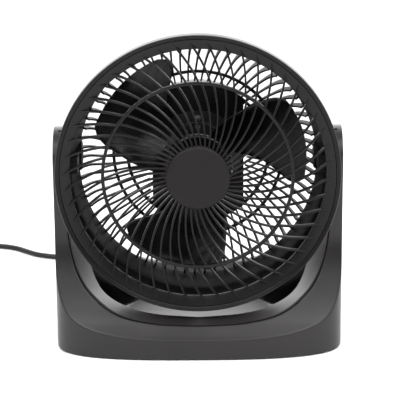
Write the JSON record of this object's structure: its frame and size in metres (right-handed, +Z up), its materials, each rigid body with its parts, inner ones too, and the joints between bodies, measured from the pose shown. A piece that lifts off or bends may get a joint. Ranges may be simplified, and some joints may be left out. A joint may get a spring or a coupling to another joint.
{
  "type": "air circulator fan",
  "caption": "Compact table air circulator: round fan head with a swept front grille, tilting between the arms of a low wrap-round base.",
  "frame": {"origin": "centre of the fan body's footprint on the surface it stands on, the cord left out", "axes": "+Z up, -Y the way the air blows, +X to the right seen from the front"},
  "size_m": [0.5175, 0.5162, 0.343],
  "materials": {
    "head_black": "moulded black plastic, satin",
    "base_black": "moulded black plastic, satin",
    "cap_grey": "charcoal plastic, fine grain",
    "blade_black": "polished black plastic",
    "bright_steel": "bright steel",
    "zinc_steel": "zinc plated sheet steel",
    "winding_copper": "enamelled copper wire",
    "nylon_white": "natural nylon",
    "foot_rubber": "soft black rubber",
    "cord_rubber": "soft black vinyl",
    "cord_vinyl": "smooth black vinyl",
    "plug_brass": "nickel plated brass"
  },
  "bodies": {
    "base": {"base_shell": "base_black", "cradle_liner": "base_black", "friction_washer_left": "nylon_white", "friction_washer_right": "nylon_white", "pivot_pin_left": "bright_steel", "pivot_pin_right": "bright_steel", "base_plate": "base_black", "foot_1": "foot_rubber", "foot_2": "foot_rubber", "foot_3": "foot_rubber", "foot_4": "foot_rubber", "base_screw_1": "bright_steel", "base_screw_2": "bright_steel", "base_screw_3": "bright_steel", "base_screw_4": "bright_steel", "strain_relief": "cord_rubber", "cord_run": "cord_vinyl", "cord_coil": "cord_vinyl", "plug_body": "cord_vinyl", "plug_blade_1": "plug_brass", "plug_blade_2": "plug_brass"},
    "head": {"front_grille": "head_black", "lip_ring": "head_black", "grille_cap": "cap_grey", "rear_housing": "head_black", "motor_plate": "zinc_steel", "motor_body": "zinc_steel", "motor_winding": "winding_copper", "motor_cover": "head_black", "switch_body": "nylon_white", "motor_screw_1": "bright_steel", "motor_screw_2": "bright_steel", "motor_screw_3": "bright_steel"},
    "rotor": {"impeller": "blade_black", "impeller_nut": "blade_black", "motor_shaft": "bright_steel"},
    "knob": {"speed_knob": "cap_grey"}
  },
  "joints": [
    {"name": "head_tilt", "type": "hinge", "parent": "base", "child": "head", "pos_m": [0, 0.004, 0.202], "axis": [-1, 0, 0], "range_deg": [-10, 90]},
    {"name": "impeller_spin", "type": "hinge", "parent": "head", "child": "rotor", "pos_m": [0, 0, 0.196], "axis": [0, 1, 0], "continuous": true},
    {"name": "speed_turn", "type": "hinge", "parent": "head", "child": "knob", "pos_m": [0, 0.06, 0.174], "axis": [0, 1, 0], "range_deg": [0, 135]}
  ]
}
